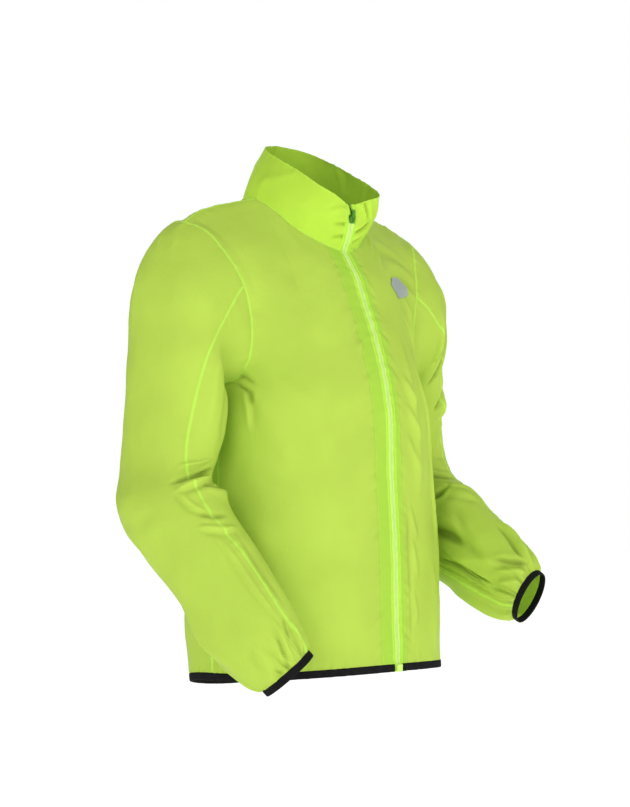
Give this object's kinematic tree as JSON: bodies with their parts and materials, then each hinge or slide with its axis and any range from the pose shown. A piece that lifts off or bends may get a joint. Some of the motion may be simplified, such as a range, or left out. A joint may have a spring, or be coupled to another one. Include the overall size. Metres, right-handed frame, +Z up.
{
  "type": "lightweight unlined riding wind jacket",
  "caption": "Thin unlined wind jacket with a tall stand collar, full front zip, bent two-piece sleeves and elastic-bound hem and cuffs, filled out as if worn.",
  "frame": {"origin": "midway between the two points where the shoulder seams meet the collar, where a neck holds the jacket", "axes": "+Z up towards the head, the front faces -Y, the wearer's right side is -X"},
  "size_m": [0.6676, 0.3765, 0.775],
  "materials": {
    "front_cloth": "thin translucent neon yellow-green nylon",
    "back_cloth": "thin translucent neon yellow-green nylon",
    "collar_cloth": "thin translucent neon yellow-green nylon, doubled",
    "sleeve_cloth": "thin translucent neon yellow-green nylon",
    "facing_cloth": "neon yellow-green nylon strip",
    "zip_tape": "pale neon woven tape with a nylon coil",
    "slider_enamel": "enamelled to match the cloth",
    "zip_plastic": "moulded to match the tape",
    "black_elastic": "narrow matt black stretch binding",
    "reflective_film": "silver-grey reflective film"
  },
  "bodies": {
    "garment": {"front_right": "front_cloth", "front_left": "front_cloth", "back": "back_cloth", "collar": "collar_cloth", "sleeve_right_outer": "sleeve_cloth", "sleeve_right_under": "sleeve_cloth", "sleeve_left_outer": "sleeve_cloth", "sleeve_left_under": "sleeve_cloth", "zip_facing_right": "facing_cloth", "zip_facing_left": "facing_cloth", "zip_garage": "facing_cloth", "zip_tape_right": "zip_tape", "zip_tape_left": "zip_tape", "zip_slider": "slider_enamel", "zip_box": "zip_plastic", "hem_binding": "black_elastic", "cuff_binding_right": "black_elastic", "cuff_binding_left": "black_elastic", "chest_patch": "reflective_film"},
    "pull": {"zip_pull": "slider_enamel"}
  },
  "joints": [
    {"name": "pull_swing", "type": "hinge", "parent": "garment", "child": "pull", "pos_m": [0, -0.0785, -0.03029], "axis": [1, 0, 0], "range_deg": [0, 165]}
  ]
}
